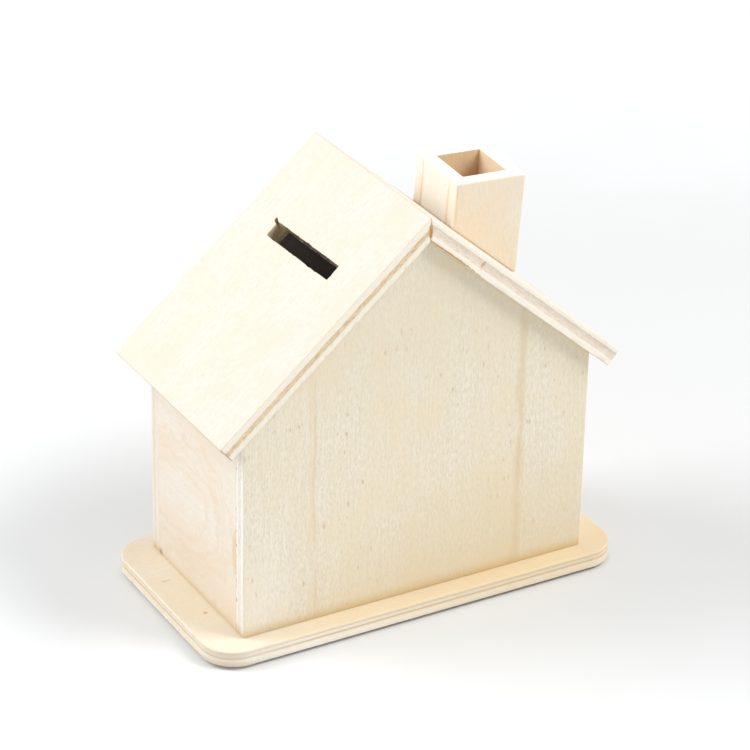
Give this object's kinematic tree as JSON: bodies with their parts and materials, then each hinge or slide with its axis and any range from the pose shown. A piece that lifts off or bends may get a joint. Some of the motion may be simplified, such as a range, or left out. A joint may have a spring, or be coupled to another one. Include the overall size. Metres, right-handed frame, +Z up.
{
  "type": "money box",
  "caption": "House-shaped plywood money box: gabled walls on a round-cornered base board, pitched roof with a coin slot, square chimney tube and a stopper underneath.",
  "frame": {"origin": "middle of the base board's underside, which the box stands on", "axes": "+X along the gable walls, from the coin slot's roof panel towards the chimney's, +Y from the front gable wall to the back one, along the ridge, +Z up"},
  "size_m": [0.12, 0.0624, 0.1114],
  "materials": {
    "base_plywood": "bare sanded plywood, tan face, layered edge",
    "wall_plywood": "bare sanded pale plywood",
    "roof_plywood": "bare sanded pale plywood, three-layer edge",
    "chimney_wood": "bare sanded solid wood",
    "stopper_rubber": "matt moulded rubber"
  },
  "bodies": {
    "box": {"base_board": "base_plywood", "front_gable_wall": "wall_plywood", "back_gable_wall": "wall_plywood", "left_side_wall": "wall_plywood", "right_side_wall": "wall_plywood", "left_roof_panel": "roof_plywood", "right_roof_panel": "roof_plywood", "chimney_front_board": "chimney_wood", "chimney_back_board": "chimney_wood", "chimney_left_board": "chimney_wood", "chimney_right_board": "chimney_wood"},
    "stopper": {"coin_stopper": "stopper_rubber"}
  },
  "joints": [
    {"name": "stopper_pull", "type": "slide", "parent": "box", "child": "stopper", "axis": [0, 0, -1], "range_m": [0, 0.03]}
  ]
}
